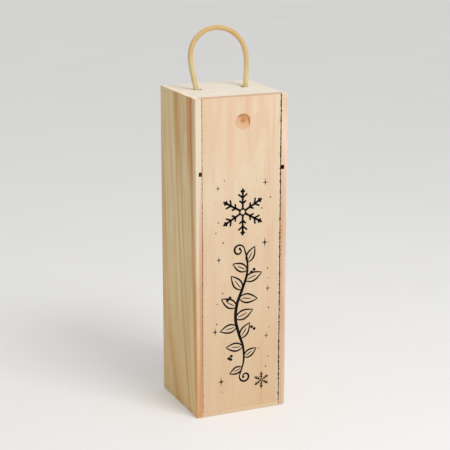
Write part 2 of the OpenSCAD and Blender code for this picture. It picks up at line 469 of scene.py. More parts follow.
def product(tree, *values):
    """All the values multiplied together."""
    result = values[0]
    for value in values[1:]:
        result = maths(tree, "MULTIPLY", result, value)
    return result


def vectors(tree, operation, *values):
    """The result of one Vector Math node, a vector or, for lengths and products, a number."""
    result = put(tree, "VectorMath", dict(enumerate(values)), operation=operation).outputs
    return result["Value"] if operation in ("LENGTH", "DISTANCE", "DOT_PRODUCT") else result[0]


def scaled(tree, vector, factor):
    """A vector made longer or shorter."""
    return put(tree, "VectorMath", {0: vector, "Scale": factor}, operation="SCALE").outputs[0]


def parts(tree, vector):
    """The three numbers of a vector."""
    return put(tree, "SeparateXYZ", {0: vector}).outputs


def ease(tree, value, start, end, low=0.0, high=1.0):
    """A value that goes smoothly from low to high while another goes from start to end."""
    inputs = {"Value": value, "From Min": start, "From Max": end, "To Min": low, "To Max": high}
    return put(tree, "MapRange", inputs, interpolation_type="SMOOTHSTEP").outputs[0]


def mixed(tree, amount, colour_a, colour_b, how="MIX"):
    """Two colours mixed."""
    node = put(tree, "Mix", {0: amount, 6: colour_a, 7: colour_b}, data_type="RGBA", blend_type=how)
    return node.outputs[2]


def noise(tree, point, scale, detail=2.0, rough=0.5):
    """A noise node over a point that is stretched by its own scale on each axis."""
    stretched = vectors(tree, "MULTIPLY", point, scale)
    return put(tree, "TexNoise", {"Vector": stretched, "Scale": 1.0, "Detail": detail,
                                  "Roughness": rough})


def node_group(name, inputs, outputs):
    """An empty group with named sockets, and its input and output nodes."""
    tree = bpy.data.node_groups.new(name, "ShaderNodeTree")
    for label, kind, value in inputs:
        socket = tree.interface.new_socket(label, in_out="INPUT", socket_type="NodeSocket" + kind)
        socket.default_value = value
    for label, kind in outputs:
        tree.interface.new_socket(label, in_out="OUTPUT", socket_type="NodeSocket" + kind)
    return tree, tree.nodes.new("NodeGroupInput").outputs, tree.nodes.new("NodeGroupOutput").inputs


def use_group(tree, group, inputs):
    """Places a group in a tree and returns its outputs."""
    node = tree.nodes.new("ShaderNodeGroup")
    node.node_tree = group
    fill(tree, node, inputs)
    return node.outputs


# %% Material helpers
def new_material(name):
    """A new material, its node tree and its shader."""
    material = bpy.data.materials.new(name)
    material.use_nodes = True
    return material, material.node_tree, material.node_tree.nodes["Principled BSDF"]


def object_point(tree):
    """The point of the surface, in the object's own metres."""
    return put(tree, "TexCoord").outputs["Object"]


def lay_over(material, amount, colour):
    """Lays one more colour over the colour that a material already has."""
    tree = material.node_tree
    base = tree.nodes["Principled BSDF"].inputs["Base Color"]
    tree.links.new(mixed(tree, amount, base.links[0].from_socket, colour), base)


# %% [markdown]
# ## Pine, part 1: growth rings
#
# Pine shows its growth rings as stripes: wide pale early wood, then a narrow darker line of late
# wood that ends sharply. A stripe texture laid on each face would not agree where two faces meet.
# So the rings are made in space, the way a tree makes them: as thin shells round the pith, the
# middle of the trunk. A board is a cut through those shells, and its faces, edges and end grain
# then agree by themselves.
#
# Each board has its own pith, which usually lies well outside the board, and a lean, because
# trunks are rarely parallel to the saw. A slow noise makes the shells wander.
#
# The point that goes in has its first axis into the board, its second across the grain and its
# third along the grain.

# %% Group: growth rings
RIPPLE = 0.34
CLIMATE_PACE = 0.37
CLIMATE_SWING = 1.9
LATE_FROM = 0.30
LATE_FULL = 0.90
FAINTEST_RING = 0.3
ring_group, given, made = node_group(
    "growth rings",
    [("Point", "Vector", (0, 0, 0)), ("Pith", "Vector", (0.1, 0, 0)), ("Lean", "Vector", (0, 0, 0)),
     ("Ring Width", "Float", 0.003), ("Wander", "Float", 0.004)],
    [("Late Wood", "Float")],
)
slow = noise(ring_group, given["Point"], (16, 16, 5)).outputs["Color"]
slow = vectors(ring_group, "SUBTRACT", slow, (0.5, 0.5, 0.5))
slow = scaled(ring_group, slow, given["Wander"])
leaned = scaled(ring_group, given["Lean"], parts(ring_group, given["Point"])["Z"])
spot = vectors(ring_group, "ADD", given["Point"], slow)
spot = vectors(ring_group, "SUBTRACT", spot, leaned)
spot = vectors(ring_group, "SUBTRACT", spot, given["Pith"])
spot = vectors(ring_group, "MULTIPLY", spot, (1, 1, 0))
from_pith = vectors(ring_group, "LENGTH", spot)
age = maths(ring_group, "DIVIDE", from_pith, given["Ring Width"])
ripple = noise(ring_group, given["Point"], (90, 90, 12)).outputs[0]
age = maths(ring_group, "MULTIPLY_ADD", ripple, RIPPLE, age)
climate = put(ring_group, "TexNoise", {"W": maths(ring_group, "MULTIPLY", age, CLIMATE_PACE),
                                       "Scale": 1.0, "Detail": 1.0}, noise_dimensions="1D")
age = maths(ring_group, "MULTIPLY_ADD", climate.outputs[0], CLIMATE_SWING, age)
season = maths(ring_group, "FRACT", age)
year = maths(ring_group, "FLOOR", age)
rise = ease(ring_group, season, LATE_FROM, LATE_FULL)
fall = ease(ring_group, season, LATE_FULL + 0.01, 1.0, 1.0, 0.0)
tone = put(ring_group, "TexWhiteNoise", {"W": year}, noise_dimensions="1D").outputs["Value"]
depth = maths(ring_group, "MULTIPLY_ADD", tone, 1 - FAINTEST_RING, FAINTEST_RING)
ring_group.links.new(product(ring_group, rise, fall, depth), made["Late Wood"])
print("Growth rings:", len(ring_group.nodes), "nodes")

# %% [markdown]
# ## Pine, part 2: fibres
#
# Between the rings wood is never even. Its cells are long and thin and show as fine lines along
# the grain, several of them side by side make narrow and broad bands, and drying leaves pale and
# dark clouds. All of them are the same noise, stretched differently. Sharing it in a group keeps
# them at the same scale on every board.

# %% Group: fibres
fibre_group, given, made = node_group(
    "wood fibres",
    [("Point", "Vector", (0, 0, 0)), ("Seed", "Vector", (0, 0, 0))],
    [("Fibre", "Float"), ("Band", "Float"), ("Broad", "Float"), ("Cloud", "Float"),
     ("Fleck", "Float")],
)
spot = vectors(fibre_group, "ADD", given["Point"], given["Seed"])
for label, scale, detail in (
    ("Fibre", (1500, 1500, 26), 3.0), ("Band", (300, 300, 5), 2.0),
    ("Broad", (85, 85, 7), 3.0), ("Cloud", (55, 55, 17), 3.0), ("Fleck", (800, 800, 110), 1.0),
):
    fibre_group.links.new(noise(fibre_group, spot, scale, detail, 0.6).outputs[0], made[label])
print("Fibres:", len(fibre_group.nodes), "nodes")

# %% [markdown]
# ## Pine, part 3: streaks
#
# The left side board has broad reddish streaks that drift towards the front on their way down.
# They are thick bands of late wood and resin, and they are what makes this board this board, so
# chance should not place them. Each streak is a sheet through the board. On the face its middle
# line is a gentle curve in height, and inside the board the sheet is tilted, which is how a
# streak on the side comes out again on the narrow front edge. Most streaks are strong at one end
# of the board and fade towards the other, so two heights say where that happens.

# %% Group: streak
SWAY = 0.005
FRAY = 0.9
SOFT_EDGE = 1.15
streak_group, given, made = node_group(
    "resin streak",
    [("Point", "Vector", (0, 0, 0)), ("Start", "Float", 0.0), ("Slope", "Float", 0.0),
     ("Bend", "Float", 0.0), ("Tilt", "Float", 0.0), ("Face", "Float", 0.0),
     ("Half Width", "Float", 0.003), ("Faint At", "Float", -9.0), ("Full At", "Float", -8.0),
     ("Seed", "Float", 0.0)],
    [("Mask", "Float")],
)
axes = parts(streak_group, given["Point"])
middle = maths(streak_group, "MULTIPLY_ADD", axes[2], given["Bend"], given["Slope"])
middle = maths(streak_group, "MULTIPLY_ADD", middle, axes[2], given["Start"])
depth = maths(streak_group, "SUBTRACT", axes[0], given["Face"])
middle = maths(streak_group, "MULTIPLY_ADD", depth, given["Tilt"], middle)
shift = put(streak_group, "CombineXYZ", {0: given["Seed"]}).outputs[0]
moved = vectors(streak_group, "ADD", given["Point"], shift)
sway = noise(streak_group, moved, (30, 30, 11)).outputs[0]
sway = maths(streak_group, "MULTIPLY_ADD", sway, SWAY, -SWAY / 2)
away = maths(streak_group, "ADD", maths(streak_group, "SUBTRACT", axes[1], middle), sway)
away = maths(streak_group, "DIVIDE", maths(streak_group, "ABSOLUTE", away), given["Half Width"])
strands = noise(streak_group, moved, (420, 420, 5), 2.0, 0.6).outputs[0]
frayed = maths(streak_group, "MULTIPLY_ADD", strands, FRAY, -FRAY / 2)
away = maths(streak_group, "ADD", away, frayed)
across_streak = ease(streak_group, away, SOFT_EDGE, 0.0)
lasting = ease(streak_group, axes[2], given["Faint At"], given["Full At"])
streak_group.links.new(product(streak_group, across_streak, lasting), made["Mask"])
print("Streak:", len(streak_group.nodes), "nodes")

# %% [markdown]
# ## Pine, part 4: edges
#
# The long edges of every board are a little rubbed. The distance to the nearest edge follows
# from the board's own box: of the three distances to its faces, an edge is near where the second
# smallest is small. Blender can also find edges from the mesh, but this way works at any
# resolution and on every board with the same few numbers.

# %% Group: rubbed edges
edge_group, given, made = node_group(
    "rubbed edges",
    [("Point", "Vector", (0, 0, 0)), ("Low", "Vector", (0, 0, 0)), ("High", "Vector", (1, 1, 1)),
     ("Width", "Float", 0.0015)],
    [("Mask", "Float")],
)
to_low = vectors(edge_group, "SUBTRACT", given["Point"], given["Low"])
to_high = vectors(edge_group, "SUBTRACT", given["High"], given["Point"])
near = parts(edge_group, vectors(edge_group, "MINIMUM", to_low, to_high))
small = maths(edge_group, "MINIMUM", near[0], near[1])
large = maths(edge_group, "MAXIMUM", near[0], near[1])
second = maths(edge_group, "MAXIMUM", small, maths(edge_group, "MINIMUM", large, near[2]))
rough = noise(edge_group, given["Point"], (130, 130, 130), 3.0, 0.6).outputs[0]
second = maths(edge_group, "DIVIDE", second, maths(edge_group, "MULTIPLY", rough, given["Width"]))
edge_group.links.new(ease(edge_group, second, 2.2, 0.2), made["Mask"])
print("Edges:", len(edge_group.nodes), "nodes")

# %% [markdown]
# ## Pine, part 5: one material for each board
#
# The groups are now put together. A material starts with the colour of early wood. Broad patches,
# clouds and flecks go over it first, then late wood where the rings say so, then the board's own
# streaks and the tint of its sawn ends. Bands and fine lines shade all of that, and the rubbed
# edges come last. The same fibres and rings raise the surface slightly, so light from the side
# catches them.
#
# Every board is cut from another place in the tree. One function makes all the materials, and
# each call gives the pith, the lean and the colours of its own board.

# %% Board directions
SWIZZLE = {"side": "XYZ", "front": "YXZ", "flat": "ZYX"}


def board_point(tree, cut):
    """The point in board directions: into the board, across the grain, along the grain."""
    where = object_point(tree)
    axes = parts(tree, where)
    turned = put(tree, "CombineXYZ", {i: axes[letter] for i, letter in enumerate(SWIZZLE[cut])})
    return where, turned.outputs[0]


def seed_point(seed):
    """A place of its own in the noises, so that no two boards look alike."""
    return (seed, seed * 0.7, seed * 1.3)


# %% Pine
FLECK_COLOUR = (196, 130, 82)
END_TINT = 0.8
FIBRE_DARK = 0.06
FIBRE_LIGHT = 0.03
RING_RELIEF = 0.5


def pine(name, node, cut, early, late, broad, cloud, pith, lean=(0, 0, 0), ring=0.0032,
         wander=0.004, late_amount=0.6, band=0.10, fine=1.0, flecks=0.3, streaks=(), end=None,
         end_reach=0.0004, edge=None, rub=0.35, seed=0.0):
    """A pine material for one board, cut from its own place in the trunk."""
    material, tree, shader = new_material(name)
    where, point = board_point(tree, cut)
    rings = use_group(tree, ring_group, {"Point": point, "Pith": pith, "Lean": lean,
                                         "Ring Width": ring, "Wander": wander})
    fibres = use_group(tree, fibre_group, {"Point": point, "Seed": seed_point(seed)})
    low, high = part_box(node)
    edges = use_group(tree, edge_group, {"Point": where, "Low": low, "High": high})

    colour = paint(*early)
    for label, start, full, amount, tint in (
        ("Broad", 0.40, 0.64, 0.9, broad),
        ("Cloud", 0.44, 0.66, 0.8, cloud),
        ("Fleck", 0.70, 0.80, flecks, FLECK_COLOUR),
    ):
        share = ease(tree, fibres[label], start, full, 0.0, amount)
        colour = mixed(tree, share, colour, paint(*tint))
    late_here = product(tree, rings["Late Wood"], late_amount)
    colour = mixed(tree, late_here, colour, paint(*late))
    for facts, tint, amount in streaks:
        mask = use_group(tree, streak_group, {"Point": point, **facts})["Mask"]
        colour = mixed(tree, product(tree, mask, amount), colour, paint(*tint))
    along_grain = parts(tree, point)[2]
    first_end, last_end = (low[0], high[0]) if cut == "flat" else (low[2], high[2])
    from_first = maths(tree, "SUBTRACT", along_grain, first_end)
    from_last = maths(tree, "SUBTRACT", last_end, along_grain)
    to_end = maths(tree, "MINIMUM", from_first, from_last)
    end_amount = ease(tree, to_end, end_reach, end_reach * 0.25, 0.0, END_TINT)
    colour = mixed(tree, end_amount, colour, paint(*(end or early)))
    darkest_line, lightest_line = 1 - FIBRE_DARK * fine, 1 + FIBRE_LIGHT * fine
    bands = ease(tree, fibres["Band"], 0.30, 0.70, 1.0 - band, 1.0 + band * 0.5)
    thin_lines = ease(tree, fibres["Fibre"], 0.25, 0.75, darkest_line, lightest_line)
    shade = product(tree, bands, thin_lines)
    grey = put(tree, "CombineColor", {0: shade, 1: shade, 2: shade}).outputs[0]
    colour = mixed(tree, 1.0, colour, grey, "MULTIPLY")
    rubbed = product(tree, edges["Mask"], rub)
    colour = mixed(tree, rubbed, colour, paint(*(edge or late)))

    height = maths(tree, "MULTIPLY_ADD", rings["Late Wood"], RING_RELIEF, fibres["Fibre"])
    bump = put(tree, "Bump", {"Height": height, "Strength": 0.35, "Distance": 0.0002})
    fill(tree, shader, {
        "Base Color": colour, "Roughness": ease(tree, fibres["Fibre"], 0.2, 0.8, 0.58, 0.76),
        "Normal": bump.outputs[0], "Specular IOR Level": 0.28,
    })
    return material


# %% Dress a board
SHARP_EDGE = math.radians(40)


def dress(node, material, rounding=0.00035):
    """Gives a board its material and eases its sharp edges."""
    board = boards[node]
    board.data.materials.clear()
    board.data.materials.append(material)
    if rounding:
        ease_edges = board.modifiers.new("eased edges", "BEVEL")
        ease_edges.width = rounding
        ease_edges.segments = 2
        ease_edges.limit_method = "ANGLE"
        ease_edges.angle_limit = SHARP_EDGE
        ease_edges.harden_normals = False
    print(node, "wears", material.name)


# %% [markdown]
# ## The side boards
#
# The left board is the one the photograph shows best, so its streaks are listed one by one, from
# front to back. Pale sapwood runs along its front edge. Behind it come a strong red streak, a
# broad one at the top with a thin line that runs on from it, and one that comes in from the back
# near the floor.
#
# A row gives the streak's start on the Y axis at the floor, its drift, its half width, its colour
# and strength, its tilt, the heights where it is faint and full, and a seed for its ragged edge.
# The drift is the slope and bend of its line, and streaks of one family share it.
#
# Only the narrow front edge of the right board shows, and that edge is orange beside the lid and
# pale at its outer corner. Its wide face gets quieter wood.

# %% Streaks of the side boards
OUTER_LEFT = -0.0525
OUTER_RIGHT = 0.0525
STRAIGHT = (0.0, 0.0)
RED_DRIFT = (0.061, -0.056)
BROAD_DRIFT = (0.062, 0.0)
THIN_DRIFT = (0.1975, -0.25)
BACK_DRIFT = (0.37, 0.0)
PATCH_DRIFT = (-0.807, 2.27)
RIGHT_DRIFT = (0.06, 0.1)
WHOLE_BOARD = 0.5
EVERYWHERE = (-9.0, -8.0)


def streak(face, start, drift, half_width, colour, amount, tilt, faint, full, seed=0.0):
    """One streak: its facts as the streak group names them, its colour and its strength."""
    slope, bend = drift
    return ({"Face": face, "Start": start, "Slope": slope, "Bend": bend, "Tilt": tilt,
             "Half Width": half_width, "Faint At": faint, "Full At": full, "Seed": seed},
            colour, amount)


LEFT_STREAKS = [streak(OUTER_LEFT, *facts) for facts in (
    # pale sapwood along the front edge, and the orange that takes over near the foot
    (-0.0535, STRAIGHT, 0.0095, (244, 231, 210), 1.0, 0.0, 0.02, 0.30, 4.0),
    (-0.0540, STRAIGHT, 0.0090, (228, 178, 130), 0.55, 0.0, 0.24, 0.02, 4.6),
    # the strong red streak, the thin line behind it, and the softer streak that runs on from it
    (-0.0507, RED_DRIFT, 0.0070, (220, 156, 94), 0.75, 1.2, 0.34, 0.20, 0.2),
    (-0.0480, RED_DRIFT, 0.0105, (224, 164, 102), 0.75, 1.2, 0.22, 0.32),
    (-0.0512, RED_DRIFT, 0.0052, (212, 134, 68), 0.9, 1.2, 0.240, 0.29, 0.4),
    (-0.0430, RED_DRIFT, 0.0028, (204, 132, 74), 0.6, 1.2, 0.25, 0.31, 0.7),
    (-0.0512, RED_DRIFT, 0.0036, (204, 140, 80), 0.6, 1.2, 0.19, 0.13, 0.8),
    # the broad streak at the top and the line that runs on from its front edge
    (-0.0170, BROAD_DRIFT, 0.0125, (224, 174, 116), 0.75, 0.4, 0.225, 0.32, 1.0),
    (-0.0185, BROAD_DRIFT, 0.0055, (218, 154, 94), 0.60, 0.4, 0.240, 0.32, 1.2),
    (-0.0305, THIN_DRIFT, 0.0036, (206, 162, 104), 0.6, 0.6, *EVERYWHERE, 1.4),
    (-0.0305, THIN_DRIFT, 0.0060, (214, 162, 98), 0.6, 0.6, 0.15, 0.03, 1.8),
    (-0.0420, (0.19, -0.25), 0.0028, (210, 170, 112), 0.5, 0.6, *EVERYWHERE, 2.2),
    # the streak that comes in from the back, broad and soft at first and narrow at the foot
    (0.0000, BACK_DRIFT, 0.0210, (222, 172, 110), 0.6, 0.4, 0.16, 0.06, 2.6),
    (0.0040, BACK_DRIFT, 0.0075, (212, 152, 86), 0.75, 0.4, 0.09, 0.01, 3.2),
    # a soft orange patch along the back edge, half way up
    (0.1225, PATCH_DRIFT, 0.0300, (224, 174, 112), 0.55, 0.0, *EVERYWHERE, 3.9),
    # the whole foot of the board is a little deeper in colour than its top
    (0.0, STRAIGHT, WHOLE_BOARD, (226, 184, 118), 0.40, 0.0, 0.20, 0.0, 3.5),
    # the reddish edge of the front strip beside the lid, broader and more orange at the foot
    (-0.0594, STRAIGHT, 0.0046, (226, 168, 136), 0.75, 1.7, 0.31, 0.18, 3.7),
    (-0.0590, STRAIGHT, 0.0036, (222, 152, 116), 0.80, 2.0, 0.20, 0.05, 4.3),
    # painted shade: a thin dark line on the strip's edge, in the seam beside the lid
    (-0.0704, STRAIGHT, 0.0014, (184, 112, 84), 0.60, 3.0, *EVERYWHERE, 5.3),
)]
RIGHT_STREAKS = [streak(OUTER_RIGHT, *facts) for facts in (
    (0.012, RIGHT_DRIFT, 0.0085, (212, 162, 114), 0.7, -0.5, 0.0, 0.2, 5.0),
    (0.009, RIGHT_DRIFT, 0.0026, (198, 134, 84), 0.6, -0.5, 0.0, 0.2, 5.5),
    (-0.028, (0.02, 0.12), 0.0070, (214, 168, 118), 0.6, -0.5, 0.3, 0.1, 6.0),
    (0.036, (-0.04, -0.1), 0.0030, (210, 166, 114), 0.5, -0.5, *EVERYWHERE, 6.6),
    # the front edge: orange beside the lid, paler at the outer corner and near the foot
    (-0.0580, STRAIGHT, 0.0085, (208, 149, 104), 0.85, -1.1, 0.31, 0.20, 7.2),
    (-0.0560, STRAIGHT, 0.0085, (228, 198, 164), 0.6, -0.9, 0.15, 0.04, 7.8),
)]
print("Streaks:", len(LEFT_STREAKS), "on the left board,", len(RIGHT_STREAKS), "on the right")

# %% Side boards
left_pine = pine(
    "left side pine", "left_side", "side", (244, 218, 168), (214, 180, 126),
    broad=(234, 205, 153), cloud=(246, 224, 179), end=(255, 243, 224), edge=(224, 190, 148),
    pith=(0.03, 0.22, 0), lean=(0, 0.10, 0), ring=0.0130, wander=0.014, late_amount=0.35,
    band=0.05, fine=0.7, rub=0.25, streaks=LEFT_STREAKS, seed=0.0,
)
right_pine = pine(
    "right side pine", "right_side", "side", (251, 220, 192), (226, 186, 150),
    broad=(245, 211, 181), cloud=(251, 228, 204), end=(244, 232, 214), edge=(246, 226, 204),
    pith=(-0.03, -0.18, 0), lean=(0, -0.05, 0), ring=0.0100, wander=0.010, late_amount=0.45,
    band=0.05, fine=0.7, streaks=RIGHT_STREAKS, rub=0.6, seed=3.1,
)
dress("left_side", left_pine)
dress("right_side", right_pine)

# %% [markdown]
# ## Painted shade in the groove ends
#
# The neck holder sits in a groove that a saw has cut across each side board, and the open end of
# that groove shows as a small dark square beside the lid. That square is a hole in shade, and the
# shade is painted: the walls of the groove are painted dark brown there, and so are the holder's
# end and the front of the lid's tongue, which shows through the square. The place of the groove is
# known, so the mask is simply a box in space with soft sides, the product of one soft step for
# each of its faces.

# %% Painted groove shade
GROOVE_INNER_X = 0.0455
GROOVE_OUTER_X = 0.0491
GROOVE_LOW_Z = 0.2684
GROOVE_HIGH_Z = 0.2732
FRONT_FACE_Y = -0.050
GROOVE_SHADE_ENDS_Y = -0.040
LID_GROOVE_SHADE_ENDS_Y = -0.0464
GROOVE_SHADE_LIGHT = (126, 48, 22)
GROOVE_SHADE_DARK = (74, 24, 10)


def paint_groove_shade(material, ends=GROOVE_SHADE_ENDS_Y, fade=0.004):
    """Paints shade near the front end of the saw cut that holds the neck holder."""
    tree = material.node_tree
    where = object_point(tree)
    axes = parts(tree, where)
    sideways = maths(tree, "ABSOLUTE", axes["X"])
    mask = product(
        tree,
        ease(tree, sideways, GROOVE_INNER_X - 0.0001, GROOVE_INNER_X + 0.0001),
        ease(tree, sideways, GROOVE_OUTER_X + 0.0002, GROOVE_OUTER_X),
        ease(tree, axes["Z"], GROOVE_LOW_Z - 0.0003, GROOVE_LOW_Z),
        ease(tree, axes["Z"], GROOVE_HIGH_Z + 0.0003, GROOVE_HIGH_Z),
        ease(tree, axes["Y"], FRONT_FACE_Y, FRONT_FACE_Y + 0.0004),
        ease(tree, axes["Y"], ends + fade, ends),
    )
    # Painted shade: mottled dark brown for the shade inside the groove's open end.
    shade_mottle = ease(tree, noise(tree, where, (800, 800, 800), 3.0, 0.6).outputs[0], 0.3, 0.7)
    lay_over(material, mask, mixed(tree, shade_mottle, paint(*GROOVE_SHADE_LIGHT), paint(*GROOVE_SHADE_DARK)))


for material in (left_pine, right_pine):
    paint_groove_shade(material)
print("Painted groove shade between z =", GROOVE_LOW_Z, "and", GROOVE_HIGH_Z)

# %% [markdown]
# ## The lid
#
# The sliding lid is the calmest board, with faint lines straight up and down and a slightly pink
# tone. Painted shade darkens its left edge along the seam, a painted highlight brightens its right
# edge, and its top end, cut across the grain, is browner than its face.

# %% Lid
LID_FACE_Y = FRONT_FACE_Y
LID_LEFT_X = -0.0451
LID_RIGHT_X = 0.0444
LID_SEED = 7.7
LID_STREAKS = [streak(LID_FACE_Y, *facts) for facts in (
    (0.006, (0.006, 0.0), 0.0060, (236, 186, 148), 0.40, 0.0, 0.28, 0.34, 8.0),
    (-0.016, (0.012, 0.0), 0.0055, (236, 192, 158), 0.30, 0.0, 0.22, 0.31, 8.5),
    (0.033, (0.010, 0.0), 0.0030, (234, 186, 152), 0.40, 0.0, 0.22, 0.33, 9.0),
    (0.024, STRAIGHT, 0.0042, (226, 166, 112), 0.55, 0.0, 0.10, 0.03, 10.0),
    (0.034, STRAIGHT, 0.0110, (232, 192, 160), 0.35, 0.0, 0.32, 0.20, 10.6),
    (-0.014, (0.004, 0.0), 0.0060, (238, 200, 164), 0.22, 0.0, *EVERYWHERE, 11.2),
    # the whole foot of the lid is a little warmer than its top
    (0.0, STRAIGHT, WHOLE_BOARD, (228, 190, 146), 0.55, 0.0, 0.30, -0.02, 11.9),
    # painted shade along the left edge in its seam, and a painted highlight along the right edge
    (LID_LEFT_X, STRAIGHT, 0.0006, (184, 112, 84), 0.55, 0.0, *EVERYWHERE, 12.4),
    (LID_RIGHT_X, STRAIGHT, 0.0012, (252, 234, 204), 0.55, 0.0, *EVERYWHERE, 12.9),
)]
lid_pine = pine(
    "lid pine", "sliding_lid", "front", (239, 213, 182), (230, 190, 152),
    broad=(236, 204, 170), cloud=(241, 220, 189), end=(210, 168, 138), edge=(226, 186, 150),
    pith=(0.06, 0.10, 0), lean=(0, 0.01, 0), ring=0.0100, wander=0.008, late_amount=0.12,
    band=0.018, fine=0.4, flecks=0.6, streaks=LID_STREAKS, end_reach=0.0006, rub=0.25,
    seed=LID_SEED,
)

# %% Specks
LID_SPECK = (0.0118, -0.0500, 0.3086)
SPECK_RADIUS = 0.0007
SPECK_COLOUR = (142, 90, 58)


def speck(material, place):
    """A small brown spot, such as a grain of bark that the planer has left."""
    tree = material.node_tree
    away = vectors(tree, "DISTANCE", object_point(tree), place)
    mask = ease(tree, away, SPECK_RADIUS, SPECK_RADIUS * 0.4, 0.0, 0.6)
    lay_over(material, mask, paint(*SPECK_COLOUR))


speck(lid_pine, LID_SPECK)
# Painted shade on the front of the lid's tongue, where it shows through the groove's open end.
paint_groove_shade(lid_pine, ends=LID_GROOVE_SHADE_ENDS_Y, fade=0.0006)
print("The lid has", len(LID_STREAKS), "streaks")

# %% [markdown]
# ## Painted shade in the seams
#
# Where the lid runs beside the two side boards, the seams are dark, and that dark is painted
# shade. The line is not even: it is broken into short dashes. One more effect adds that to the
# lid, to both side boards and to the right end of the bottom board. On the face its mask is narrow
# and broken up along the grain by a noise. Inside the seam, where shade falls, it goes on for a
# few millimetres, weaker towards the foot. It stops just short of the top, where the boards' clean
# ends begin. The left seam's painted shade is reddish, and the wider right one is dark brown.

# %% Painted seam shade
SEAM_TOP = 0.3490
LEAST_REACH = 0.0001
seam_shade_group, given, made = node_group(
    "painted seam shade",
    [("Point", "Vector", (0, 0, 0)), ("Seam", "Float", 0.0), ("Face Reach", "Float", 0.0006),
     ("Inside Shade Amount", "Float", 1.0)],
    [("Mask", "Float")],
)
axes = parts(seam_shade_group, given["Point"])
beside = maths(seam_shade_group, "ABSOLUTE", maths(seam_shade_group, "SUBTRACT", axes["X"], given["Seam"]))
dashes = noise(seam_shade_group, given["Point"], (260, 260, 460), 3.0, 0.65).outputs[0]
reach = product(seam_shade_group, ease(seam_shade_group, dashes, 0.42, 0.62), given["Face Reach"])
beside_share = maths(seam_shade_group, "DIVIDE", beside, maths(seam_shade_group, "ADD", reach, LEAST_REACH))
on_face = ease(seam_shade_group, beside_share, 1.3, 0.6)
# Painted shade inside the seam, a few millimetres behind the front face, weaker towards the foot.
deep = product(
    seam_shade_group,
    ease(seam_shade_group, axes["Y"], FRONT_FACE_Y + 0.0002, FRONT_FACE_Y + 0.0010),
    ease(seam_shade_group, axes["Y"], FRONT_FACE_Y + 0.0038, FRONT_FACE_Y + 0.0024),
    ease(seam_shade_group, beside, 0.0012, 0.0009),
    ease(seam_shade_group, axes["Z"], 0.02, 0.24, 0.45, 1.0),
    given["Inside Shade Amount"],
)
in_front = ease(seam_shade_group, axes["Y"], FRONT_FACE_Y + 0.0040, FRONT_FACE_Y + 0.0030)
below_top = ease(seam_shade_group, axes["Z"], SEAM_TOP + 0.0004, SEAM_TOP)
seam_darkness = maths(seam_shade_group, "MAXIMUM", on_face, deep)
seam_shade_group.links.new(product(seam_shade_group, seam_darkness, in_front, below_top), made["Mask"])
print("Painted seam shade:", len(seam_shade_group.nodes), "nodes")

# %% Painted shade on the boards beside each seam
LEFT_SEAM_X = (LID_LEFT_X - GROOVE_INNER_X) / 2
RIGHT_SEAM_X = (LID_RIGHT_X + GROOVE_INNER_X) / 2
REDDISH_SEAM_SHADE = (168, 98, 78)
DARK_SEAM_SHADE = (70, 28, 6)
SILL_SEAM_SHADE = (94, 52, 26)


def paint_seam_shade(material, seam, face_reach, inside_shade_amount, amount, colour):
    """Paints shade in and beside a seam that runs up the front of the box."""
    tree = material.node_tree
    mask = use_group(tree, seam_shade_group, {"Point": object_point(tree), "Seam": seam,
                                        "Face Reach": face_reach, "Inside Shade Amount": inside_shade_amount})
    lay_over(material, product(tree, mask["Mask"], amount), paint(*colour))


# Painted shade: reddish along the left seam, dark brown along the wider right one.
for material in (lid_pine, left_pine):
    paint_seam_shade(material, LEFT_SEAM_X, 0.0005, 0.7, 0.8, REDDISH_SEAM_SHADE)
for material in (lid_pine, right_pine):
    paint_seam_shade(material, RIGHT_SEAM_X, 0.0012, 1.0, 0.95, DARK_SEAM_SHADE)
print("Painted seam shade along x =", LEFT_SEAM_X, "and", RIGHT_SEAM_X)

# %% [markdown]
# ## The thumb scoop
#
# The lid's thumb scoop is drilled at an angle, so it cuts across the fibres. Cut fibres drink in
# more light than the planed face, and the scoop looks darker and redder. The depth below the face
# says where the scoop is, so the mask for it needs no drawing. Its heart is brown, where the bit
# has turned longest, and painted light brightens its steep wall at the upper right, which would
# otherwise sit in shade.

# %% Scoop
SCOOP_CENTRE = (0.0010, -0.0500, 0.3230)
SCOOP_RADIUS = 0.0083
SCOOP_DEEPEST = 0.0045
SCOOP_HEART = (0.0022, -0.0475, 0.3240)
PAINTED_LIGHT_WAY = (0.5, 0.0, 0.85)
SHALLOW_CUT = ((230, 186, 148), (222, 172, 132))
DEEP_CUT = ((228, 176, 130), (214, 156, 108))
HEART_COLOUR = (188, 122, 66)
STEEP_WALL_PAINTED_LIGHT = (255, 206, 150)


